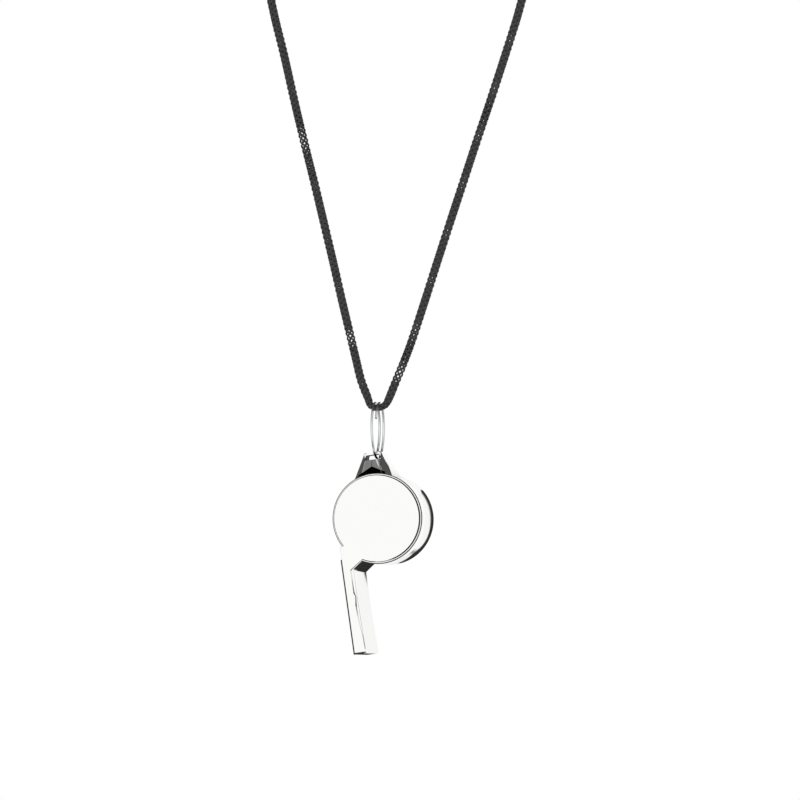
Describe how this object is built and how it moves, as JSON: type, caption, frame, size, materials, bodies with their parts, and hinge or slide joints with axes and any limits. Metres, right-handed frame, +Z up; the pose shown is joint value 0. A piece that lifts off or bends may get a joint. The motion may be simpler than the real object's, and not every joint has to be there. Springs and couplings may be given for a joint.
{
  "type": "pea whistle",
  "caption": "Pressed-metal pea whistle with a round barrel, slim mouthpiece and hooded tail bracket, hanging by a split ring from a knitted neck cord.",
  "frame": {"origin": "under the top of the cord's loop, where a peg, a hook or a hand holds it", "axes": "+Z up, against gravity as the whistle hangs; -Y is the side that the near cheek faces; +X is to the right of that view"},
  "size_m": [0.0678, 0.0188, 0.2022],
  "materials": {
    "plated_steel": "polished bright plating",
    "plated_wire": "polished bright plating",
    "cork": "ground natural cork",
    "knitted_cord": "open knitted polyester"
  },
  "bodies": {
    "lanyard": {"lanyard_cord": "knitted_cord", "lanyard_knot": "knitted_cord"},
    "ring": {"split_ring": "plated_wire"},
    "whistle": {"near_cheek": "plated_steel", "far_cheek": "plated_steel", "barrel_band": "plated_steel", "mouthpiece_roof": "plated_steel", "windway_floor": "plated_steel", "tail_bracket": "plated_steel"},
    "pea": {"cork_pea": "cork"}
  },
  "joints": [
    {"name": "ring_swing", "type": "hinge", "parent": "lanyard", "child": "ring", "pos_m": [-0.0051, 0, -0.137], "axis": [1, 0, 0], "range_deg": [-75, 75]},
    {"name": "whistle_swing", "type": "hinge", "parent": "ring", "child": "whistle", "pos_m": [-0.0051, 0, -0.14955], "axis": [0, 1, 0], "range_deg": [-45, 65]},
    {"name": "pea_roll", "type": "hinge", "parent": "whistle", "child": "pea", "pos_m": [-0.00368, 0, -0.1646], "axis": [0, 1, 0], "continuous": true}
  ]
}
